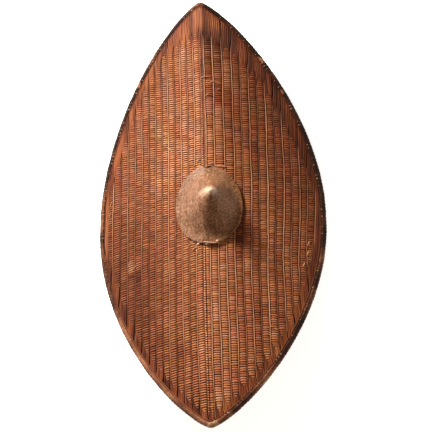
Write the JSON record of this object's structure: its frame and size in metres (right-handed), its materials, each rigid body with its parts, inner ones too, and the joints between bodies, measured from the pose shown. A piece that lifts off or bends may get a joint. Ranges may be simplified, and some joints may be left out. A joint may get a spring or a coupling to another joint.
{
  "type": "wicker shield",
  "caption": "Leaf-shaped keeled shield of woven cane with a hide-bound edge, an off-centre carved wooden boss and a wooden grip lashed behind it.",
  "frame": {"origin": "on the ground under the middle of the shield's bounding box, with the shield lying face up", "axes": "+Y along the ridge towards the upper tip, +X to the right wing seen from the front, +Z out of the face"},
  "size_m": [0.4666, 0.8986, 0.1697],
  "materials": {
    "cane": "reddish brown split cane, woven, dull sheen, worn pale on the ribs",
    "hide": "dark brown dry hide, stitched, worn tan at the tips",
    "boss_wood": "carved grey-brown wood, handled smooth",
    "grip_wood": "dark wood, hand-polished",
    "thong": "pale dry thong, matt"
  },
  "bodies": {
    "root": {"wicker_body": "cane", "rim_binding": "hide", "boss": "boss_wood", "grip": "grip_wood", "upper_lashing": "thong", "lower_lashing": "thong"}
  },
  "joints": []
}
